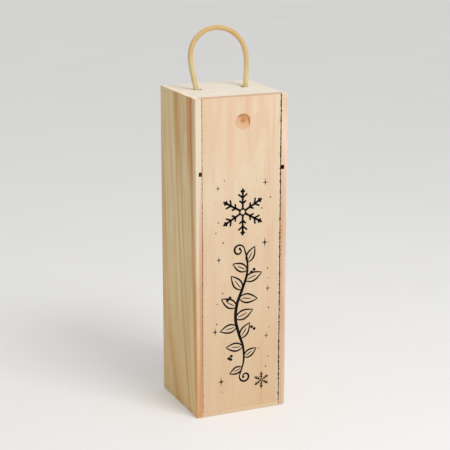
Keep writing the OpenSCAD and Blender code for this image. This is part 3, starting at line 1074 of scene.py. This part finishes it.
def scoop_cut(material):
    """Darkens the wood where the scoop has cut into the lid's face, and paints light on its wall.
    """
    tree = material.node_tree
    where = object_point(tree)
    offset = vectors(tree, "SUBTRACT", where, SCOOP_CENTRE)
    depth = parts(tree, offset)["Y"]
    radius = vectors(tree, "LENGTH", vectors(tree, "MULTIPLY", offset, (1, 0, 1)))
    in_circle = ease(tree, radius, SCOOP_RADIUS + 0.0003, SCOOP_RADIUS - 0.0002)
    in_front = maths(tree, "LESS_THAN", depth, SCOOP_DEEPEST)
    cut_lines = ease(tree, noise(tree, where, (1100, 200, 260), 3.0, 0.6).outputs[0], 0.3, 0.7)
    shallow, deep = (
        mixed(tree, cut_lines, paint(*pale), paint(*dark)) for pale, dark in (SHALLOW_CUT, DEEP_CUT)
    )
    tint = mixed(tree, ease(tree, depth, 0.0006, 0.0030), shallow, deep)
    smudge = noise(tree, where, (420, 420, 260), 3.0, 0.6).outputs[0]
    from_heart = vectors(tree, "DISTANCE", where, SCOOP_HEART)
    heart = maths(tree, "MULTIPLY_ADD", smudge, 0.005, from_heart)
    tint = mixed(tree, ease(tree, heart, 0.0082, 0.0034, 0.0, 0.85), tint, paint(*HEART_COLOUR))
    # Painted light: the steep upper right wall is painted brighter where it would sit in shade.
    towards_painted_light = vectors(tree, "DOT_PRODUCT", offset, PAINTED_LIGHT_WAY)
    painted_wall_light = ease(tree, towards_painted_light, 0.0042, 0.0068, 0.0, 0.85)
    tint = mixed(tree, painted_wall_light, tint, paint(*STEEP_WALL_PAINTED_LIGHT))
    ragged = maths(tree, "MULTIPLY_ADD", smudge, 0.0024, maths(tree, "SUBTRACT", depth, 0.0012))
    strength = ease(tree, ragged, -0.0012, 0.0006, 0.15, 0.92)
    lay_over(material, product(tree, strength, in_circle, in_front), tint)


scoop_cut(lid_pine)
dress("sliding_lid", lid_pine, 0.0002)

# %% [markdown]
# ## The print on the lid
#
# The lid is screen-printed in black with a plain winter pattern: a large snowflake and a small
# one, a leafy sprig with curled ends, a few stars, and loose dots of snow.
#
# A print could be painted into the lid's material, but curves as fine as these would need a
# texture. As thin pieces of ink they stay sharp at any distance. Every mark is the same kind of
# shape, a line with a width that changes along it: a stroke keeps its width and has round ends, a
# leaf's edge swells in the middle, and a dot is a short line as wide as it is long.

# %% Marks of ink
INK_RAISED = 0.00006
INK_SUNK = 0.00003
PEN_STEP = 0.35
CAP_STOPS = np.array([0.0, 0.08, 0.25, 0.5, 0.8])
CAP_ROUNDNESS = 0.985
SWELL_POWER = 1.2
DOT_TIP = 0.08
DOT_STEPS = 18
ink_rings = {}


def mark(print_name, line, widths):
    """Adds one mark to a print: a line on the lid's face, in millimetres, and its widths."""
    line = np.array(line, dtype=float) / 1000
    widths = np.array(widths, dtype=float) / 1000
    ahead = unit(np.gradient(line, axis=0))
    side = np.c_[-ahead[:, 1], ahead[:, 0]] * widths[:, None] / 2
    front = np.full(len(line), LID_FACE_Y - INK_RAISED)
    back = np.full(len(line), LID_FACE_Y + INK_SUNK)
    left, right = line + side, line - side
    corners = ((left, front), (right, front), (right, back), (left, back))
    rings = np.stack([np.c_[edge[:, 0], y, edge[:, 1]] for edge, y in corners], axis=1)
    ink_rings.setdefault(print_name, []).append(rings)


def stroke(print_name, points, thick, thin=None):
    """A pen stroke through the points with round ends, thick in its middle and thin at its ends."""
    thin = thick if thin is None else thin
    line = even_steps(points, PEN_STEP)
    run = run_along(line)
    cap = thin / 2
    ends = cap * CAP_STOPS
    stops = np.unique(np.r_[ends, run[(run > cap) & (run < run[-1] - cap)], run[-1] - ends])
    swell = np.sin(math.pi * stops / run[-1]) ** SWELL_POWER
    round_end = np.clip(np.minimum(stops, run[-1] - stops) / cap, 0, 1)
    narrowing = np.sqrt(1 - (1 - round_end) ** 2 * CAP_ROUNDNESS)
    mark(print_name, points_at(stops, run, line), (thin + (thick - thin) * swell) * narrowing)


def dot(print_name, x, z, radius):
    """A round dot."""
    turn_by = np.linspace(DOT_TIP, math.pi - DOT_TIP, DOT_STEPS)
    line = np.c_[x - radius * np.cos(turn_by), np.full(DOT_STEPS, z)]
    mark(print_name, line, 2 * radius * np.sin(turn_by))


# %% Leaves and curls
LEAF_POINTS = 9
LEAF_FULLEST_LOW = 0.8
LEAF_LINE = (2.0, 1.0)
VEIN = np.linspace(0.14, 0.66, 4)
VEIN_LINE = (1.1, 0.6)
CURL_STEPS = 26
CURL_WINDS_IN = 0.72
CURL_DOT = 0.95


def pointing(angle):
    """The direction on the lid at an angle from the lid's right."""
    return np.array([math.cos(angle), math.sin(angle)])


def leaf(print_name, x, z, direction, length, half_width):
    """A leaf in outline with a middle vein, growing from a point in a direction in degrees."""
    ahead = pointing(math.radians(direction))
    side = np.array([-ahead[1], ahead[0]])
    share = np.linspace(0, 1, LEAF_POINTS)
    base = np.array([x, z])
    for way in (1, -1):
        bulge = way * half_width * np.sin(math.pi * share ** LEAF_FULLEST_LOW)
        edge = base + np.outer(share * length, ahead) + np.outer(bulge, side)
        stroke(print_name, edge, *LEAF_LINE)
    stroke(print_name, base + np.outer(VEIN * length, ahead), *VEIN_LINE)


def curl(print_name, x, z, start, turns, radius, thick, thin):
    """A spiral that winds inwards from a point: start is the direction it sets off in, degrees."""
    heading = math.radians(start)
    bend = turns * 2 * math.pi / CURL_STEPS
    points = [(x, z)]
    for i in range(CURL_STEPS):
        length = abs(bend) * radius * (1 - CURL_WINDS_IN * i / CURL_STEPS)
        heading += bend
        x += length * math.cos(heading)
        z += length * math.sin(heading)
        points.append((x, z))
    stroke(print_name, points, thick, thin)
    dot(print_name, x, z, thin * CURL_DOT)


# %% Snowflakes and stars
HUB = 0.13
HUB_SLANT = 0.866
BRANCHES = ((0.36, 0.20), (0.60, 0.26), (0.82, 0.13))
BRANCH_LEAN = 52
BRANCH_LINE = 0.85
STAR_POINTS = 13
STAR_HEIGHT = 1.4
STAR_TIP = 0.12
STAR_WAIST = 0.42
STAR_POWER = 1.7


def snowflake(print_name, x, z, radius, line_width):
    """A six-armed snowflake with a ring at its hub and pairs of side branches on each arm."""
    centre = np.array([x, z])
    for arm in range(6):
        angle = math.radians(30 + 60 * arm)
        ahead = pointing(angle)
        stroke(print_name, [centre + ahead * radius * f for f in (HUB, 0.5, 1.0)], line_width)
        for share, reach in BRANCHES:
            root = centre + ahead * radius * share
            for lean in (-BRANCH_LEAN, BRANCH_LEAN):
                tip = root + radius * reach * pointing(angle + math.radians(lean))
                stroke(print_name, [root, (root + tip) / 2, tip], line_width * BRANCH_LINE)
        start, end = (
            pointing(angle + math.radians(turn_to)) * radius * HUB / HUB_SLANT
            for turn_to in (-30, 30)
        )
        hub_side = [centre + start, centre + (start + end) / 2, centre + end]
        stroke(print_name, hub_side, line_width * BRANCH_LINE)


def star(print_name, x, z, radius):
    """A four-pointed star: two crossed lines that swell in the middle."""
    share = np.linspace(-1, 1, STAR_POINTS)
    widths = STAR_TIP + radius * STAR_WAIST * (1 - np.abs(share)) ** STAR_POWER
    for along_x, along_z in ((1.0, 0.0), (0.0, STAR_HEIGHT)):
        line = np.c_[x + share * radius * along_x, z + share * radius * along_z]
        mark(print_name, line, widths)


# %% Draw the pattern
STAR_CLEARANCE = 7
snowflake("print_snowflake", 1.0, 226.0, 26.0, 2.4)
snowflake("print_snowflake", 24.0, 33.0, 9.5, 1.2)

stem = [(3.0, 186.0), (6.5, 172.0), (6.0, 156.0), (0.5, 140.0), (-5.5, 124.0), (-7.0, 107.0),
        (-3.0, 90.0), (2.0, 74.0), (2.5, 58.0), (-2.0, 43.0)]
stroke("print_sprig", stem, 3.6, 1.6)
curl("print_sprig", 3.0, 186.0, 104, 1.15, 6.6, 2.3, 1.5)
curl("print_sprig", -2.0, 43.0, 244, 1.15, 6.6, 2.3, 1.5)
LEAVES = [
    (6.3, 170.0, 62, 19, 4.3), (6.4, 161.0, 152, 19, 4.3), (4.0, 150.0, 20, 21, 4.7),
    (0.6, 140.0, 128, 21, 4.7), (-3.0, 131.0, -8, 22, 4.9), (-6.0, 121.0, 148, 21, 4.7),
    (-7.0, 108.0, 22, 22, 4.9), (-5.6, 99.0, 190, 20, 4.5), (-1.5, 85.0, 56, 20, 4.5),
    (1.6, 75.0, 176, 20, 4.5), (2.8, 63.0, 30, 17, 3.9), (1.0, 51.0, 200, 16, 3.7),
]
for facts in LEAVES:
    leaf("print_sprig", *facts)
BERRIES = ((11.5, 158.5), (14.6, 161.2), (-13.6, 132.5), (-16.6, 130.0), (12.0, 96.5),
           (15.0, 94.0), (-12.0, 66.0), (-15.0, 63.6), (-12.6, 62.2))
for x, z in BERRIES:
    dot("print_sprig", x, z, 1.7)

STARS = [(27.0, 190.0, 4.2), (-26.5, 176.0, 3.2), (31.0, 138.0, 3.0), (-31.0, 96.0, 3.8),
         (29.5, 84.0, 2.8), (-24.0, 38.0, 4.2), (27.0, 256.0, 3.4), (-27.5, 254.0, 2.6)]
for x, z, radius in STARS:
    star("print_stars", x, z, radius)
flakes = np.random.default_rng(12)
for z in np.linspace(26, 262, 22):
    x = float(flakes.uniform(19, 34)) * (1 if flakes.random() < 0.5 else -1)
    if all(math.hypot(x - sx, z - sz) > STAR_CLEARANCE for sx, sz, _ in STARS):
        dot("print_stars", x, float(z), float(flakes.uniform(0.45, 0.85)))
print("Marks:", ", ".join(f"{name} {len(marks)}" for name, marks in ink_rings.items()))

# %% [markdown]
# Screen ink is thin, and it soaks into the grain. So it gets the lid's own fibres: where they
# stand up, the black is a little thinner.

# %% Ink
def black_ink():
    """Black screen ink that has soaked into the grain of the lid."""
    material, tree, shader = new_material("black ink")
    _, point = board_point(tree, "front")
    fibres = use_group(tree, fibre_group, {"Point": point, "Seed": seed_point(LID_SEED)})
    thin = ease(tree, fibres["Fibre"], 0.45, 0.8, 0.0, 0.8)
    bump = put(tree, "Bump", {"Height": fibres["Fibre"], "Strength": 0.2, "Distance": 0.0001})
    fill(tree, shader, {
        "Base Color": mixed(tree, thin, paint(12, 10, 9), paint(38, 31, 25)),
        "Roughness": ease(tree, fibres["Band"], 0.3, 0.7, 0.5, 0.68),
        "Normal": bump.outputs[0], "Specular IOR Level": 0.15,
    })
    return material


ink = black_ink()
for name, marks in ink_rings.items():
    points = np.concatenate([rings.reshape(-1, 3) for rings in marks])
    faces = []
    first = 0
    for rings in marks:
        faces += tube_faces(len(rings), 4, first)
        first += len(rings) * 4
    mesh = bpy.data.meshes.new(name)
    mesh.from_pydata(points.tolist(), [], faces)
    mesh.materials.append(ink)
    print_piece = add_object(name, mesh)
    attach(print_piece, "lid")
    print(name, "has", len(marks), "marks and", len(mesh.polygons), "faces")

# %% [markdown]
# ## The boards between the sides
#
# The top board is the palest wood on the box, almost white, with only faint clouds. The bottom,
# the back and the neck holder are hardly seen or not at all in the photograph, so they get the
# kind of pine such boxes use there: plain, a little warmer, and with dark edges on the thin
# holder. The sill, the bit of the bottom board that shows below the lid, has two small specks and
# painted shade of the right seam at its right end.

# %% Top, bottom, back and holder
SILL_SPECKS_X = (-0.0269, -0.0246)
SILL_SPECK_Z = 0.0041
top_pine = pine(
    "top pine", "top_panel", "flat", (241, 231, 214), (228, 211, 188),
    broad=(236, 225, 206), cloud=(243, 234, 219), edge=(224, 204, 178),
    pith=(-0.05, 0.09, 0), ring=0.0065, wander=0.008, late_amount=0.35, band=0.025, rub=0.3,
    seed=11.3,
)
bottom_pine = pine(
    "bottom pine", "bottom_panel", "flat", (238, 209, 174), (226, 188, 148),
    broad=(234, 203, 166), cloud=(240, 215, 181), edge=(226, 190, 152), rub=0.15,
    pith=(0.06, -0.08, 0), ring=0.0060, wander=0.006, late_amount=0.3, band=0.03, seed=13.9,
)
for speck_x in SILL_SPECKS_X:
    speck(bottom_pine, (speck_x, LID_FACE_Y, SILL_SPECK_Z))
# Painted shade: the right seam's dark line goes on down the sill.
paint_seam_shade(bottom_pine, GROOVE_INNER_X, 0.0006, 0.0, 0.9, SILL_SEAM_SHADE)
back_pine = pine(
    "back pine", "back_panel", "front", (238, 214, 178), (214, 170, 120),
    broad=(232, 202, 160), cloud=(240, 220, 188), edge=(210, 170, 124),
    pith=(0.030, -0.012, 0), lean=(0.03, 0.01, 0), ring=0.0046, wander=0.010, late_amount=0.65,
    band=0.06, seed=17.1,
)
holder_pine = pine(
    "holder pine", "neck_holder", "flat", (238, 214, 178), (218, 182, 136),
    broad=(232, 204, 164), cloud=(240, 220, 190), edge=(150, 104, 66), rub=0.7,
    pith=(0.03, 0.05, 0), ring=0.0034, wander=0.006, late_amount=0.5, band=0.08, seed=19.7,
)
# Painted shade on the holder's front end, inside the groove's open end.
paint_groove_shade(holder_pine)
dress("top_panel", top_pine)
dress("bottom_panel", bottom_pine, 0)
dress("back_panel", back_pine)
dress("neck_holder", holder_pine, 0.0002)

# %% [markdown]
# ## Brads
#
# The boards are held by brads, thin headed nails that are driven just below the surface. Only
# their heads show, as small dark dots. Bare steel wire is grey and a little blotchy, with the
# first brown of rust where the wood's damp has reached it.

# %% Brads
def steel():
    """Plain wire steel with a trace of rust."""
    material, tree, shader = new_material("brad steel")
    blotch = noise(tree, object_point(tree), (900, 900, 900), 3.0, 0.6).outputs[0]
    rust = ease(tree, blotch, 0.5, 0.75, 0.0, 0.8)
    fill(tree, shader, {
        "Base Color": mixed(tree, rust, paint(176, 158, 132), paint(150, 112, 76)),
        "Metallic": ease(tree, rust, 0.0, 0.6, 0.8, 0.15),
        "Roughness": ease(tree, blotch, 0.3, 0.7, 0.35, 0.65),
    })
    return material


brad_steel = steel()
dress("left_side_brads", brad_steel, 0)
dress("right_side_brads", brad_steel, 0)

# %% [markdown]
# ## The rope's yarn
#
# Each strand of the braid is a flat bundle of a few yarns, in straw yellow. The mesh carries
# three numbers for this: how far across its strand a point lies, how far along, and which strand
# it is. Yarns are thin lines along the strand with a fast twist in each, the strand's edges are
# painted dark brown as painted shade where they tuck under their neighbours, and no two strands
# have quite the same tone. Because these numbers travel with the mesh, the pattern stays put when
# the handle is tipped.
#
# A hand has darkened the rope here and there along its length, and most of all round the top of
# the arch, which has worn to a deeper orange.

# %% Rope material
YARN_LINES = 9.5
YARN_TWIST = 5200.0
YARN_SLANT = 9.0
TWIST_SHARE = 0.25
STRANDS_APART = 37.0
PATCHES_PER_METRE = 260.0
SMUDGES_PER_METRE = 75.0
WORN_FROM_TOP = 0.072
WORN_MOST = 0.030


def carried(tree, name):
    """A number that the mesh carries at each of its points."""
    return put(tree, "Attribute", attribute_name=name).outputs["Fac"]


def straw_yarn():
    """Straw-yellow yarn, with fine twisted lines along each strand."""
    material, tree, shader = new_material("straw yarn")
    across = carried(tree, "across")
    along_strand = carried(tree, "along")
    slant = product(tree, across, YARN_SLANT)
    twist = maths(tree, "SINE", maths(tree, "MULTIPLY_ADD", along_strand, YARN_TWIST, slant))
    lines = maths(tree, "SINE", product(tree, across, YARN_LINES))
    fine = maths(tree, "MULTIPLY_ADD", twist, TWIST_SHARE, lines)
    own_place = product(tree, carried(tree, "strand"), STRANDS_APART)
    patch_run = product(tree, along_strand, PATCHES_PER_METRE)
    spot = put(tree, "CombineXYZ", {0: own_place, 1: across, 2: patch_run}).outputs[0]
    patch = noise(tree, spot, (1, 1.4, 1), 3.0, 0.6).outputs[0]
    smudge_run = product(tree, along_strand, SMUDGES_PER_METRE)
    smudge_spot = put(tree, "CombineXYZ", {0: smudge_run}).outputs[0]
    smudge = noise(tree, smudge_spot, (1, 1, 1), 2.0, 0.5).outputs[0]
    from_top = maths(tree, "ABSOLUTE", maths(tree, "SUBTRACT", along_strand, rope_length / 2))
    to_edge = maths(tree, "ABSOLUTE", across)
    colour = mixed(tree, ease(tree, patch, 0.3, 0.72), paint(255, 242, 192), paint(255, 232, 162))
    for amount, tint in (
        (ease(tree, smudge, 0.5, 0.68, 0.0, 0.4), (246, 204, 126)),
        (ease(tree, from_top, WORN_FROM_TOP, WORN_MOST, 0.0, 0.6), (248, 200, 128)),
        # painted shade: the strand's edges are dark where they tuck under their neighbours
        (ease(tree, to_edge, 0.62, 0.94, 0.0, 1.0), (126, 64, 14)),
        (ease(tree, fine, -0.3, -1.2, 0.0, 0.25), (224, 180, 104)),
    ):
        colour = mixed(tree, amount, colour, paint(*tint))
    bump = put(tree, "Bump", {"Height": fine, "Strength": 0.6, "Distance": 0.00008})
    fill(tree, shader, {
        "Base Color": colour, "Roughness": ease(tree, patch, 0.2, 0.8, 0.62, 0.82),
        "Normal": bump.outputs[0], "Sheen Weight": 0.15,
    })
    return material


yarn = straw_yarn()
for piece in (rope, knot_left, knot_right):
    piece.data.materials.append(yarn)
print("Rope and knots wear", yarn.name)

# %% [markdown]
# ## The floor
#
# The box stands on a plain pale floor that is big enough to fill the picture. It is part of the
# stage and not of the box. A very slight unevenness keeps its shadow from looking cut out.
#
# Lit by the box's own lamps the floor would come out grey. A little glow, seen only by the camera
# and in reflections, makes it pale without putting more light on the box.

# %% Floor
FLOOR_HALF = 12.0
FLOOR_DROP = 0.0002
FLOOR_GLOW = 0.14
WHITE = (1, 1, 1, 1)


def looked_at(tree):
    """One for rays from the camera or a reflection, and zero for rays that only carry light."""
    rays = put(tree, "LightPath").outputs
    seen = maths(tree, "MAXIMUM", rays["Is Camera Ray"], rays["Is Glossy Ray"])
    return maths(tree, "MAXIMUM", seen, rays["Is Transmission Ray"])


floor_mesh = bpy.data.meshes.new("floor")
floor_corners = [(-1, -1), (1, -1), (1, 1), (-1, 1)]
floor_mesh.from_pydata(
    [(x * FLOOR_HALF, y * FLOOR_HALF, -FLOOR_DROP) for x, y in floor_corners], [], [(0, 1, 2, 3)]
)
floor_paint, floor_tree, floor_shader = new_material("floor paint")
floor_cloud = noise(floor_tree, object_point(floor_tree), (5, 5, 5)).outputs[0]
fill(floor_tree, floor_shader, {
    "Base Color": mixed(floor_tree, floor_cloud, paint(232, 231, 229), paint(226, 225, 223)),
    "Roughness": 0.85, "Emission Color": WHITE,
    "Emission Strength": product(floor_tree, looked_at(floor_tree), FLOOR_GLOW),
})
floor_mesh.materials.append(floor_paint)
floor = add_object("floor", floor_mesh)
print("The floor is", 2 * FLOOR_HALF, "m wide and", FLOOR_DROP * 1000, "mm below the box")

# %% [markdown]
# ## Light
#
# The photograph has soft light from the front, a little to the right and well above: the top is
# brightest, the front next, and the left side is in shade. A wide lamp close to the box gives
# that, and because it is close, the foot of the box gets less than its top, as in the picture. A
# sun with a wide disc fills in evenly, and a grey world lifts the shadows. Their strengths are
# set so that a colour on the front comes out about as it was written. Like the floor, the world
# is a little brighter to look at than the light it gives.

# %% Lamps
KEY_PLACE = (0.28, -0.85, 1.28)
KEY_TARGET = (0.0, 0.0, 0.2)
KEY_POWER = 8.4
KEY_WIDTH = 0.55
KEY_HEIGHT = 0.45
SUN_PLACE = (0.5, -1.6, 2.6)
SUN_TARGET = (0.0, 0.0, 0.0)
SUN_POWER = 0.35
SUN_DISC = math.radians(40)


def add_lamp(name, kind, power, place, target):
    """A lamp at a place, looking at a target."""
    lamp = add_object(name, bpy.data.lights.new(name, kind))
    lamp.data.energy = power
    lamp.location = place
    direction = Vector(target) - Vector(place)
    lamp.rotation_euler = direction.to_track_quat("-Z", "Y").to_euler()
    return lamp


key = add_lamp("key", "AREA", KEY_POWER, KEY_PLACE, KEY_TARGET)
key.data.shape = "RECTANGLE"
key.data.size = KEY_WIDTH
key.data.size_y = KEY_HEIGHT
sun = add_lamp("fill sun", "SUN", SUN_POWER, SUN_PLACE, SUN_TARGET)
sun.data.angle = SUN_DISC
print("Lamps:", key.name, KEY_POWER, "and", sun.name, SUN_POWER)

# %% World
WORLD_LIGHT = 0.54
WORLD_SEEN = 0.67
world = bpy.data.worlds.new("studio")
bpy.context.scene.world = world
world.use_nodes = True
world_tree = world.node_tree
world_looked_at = looked_at(world_tree)
world_strength = maths(
    world_tree, "MULTIPLY_ADD", world_looked_at, WORLD_SEEN - WORLD_LIGHT, WORLD_LIGHT
)
fill(world_tree, world_tree.nodes["Background"], {"Color": WHITE, "Strength": world_strength})
bpy.context.scene.view_settings.view_transform = "Standard"
print("World gives", WORLD_LIGHT, "as light and is seen as", WORLD_SEEN)
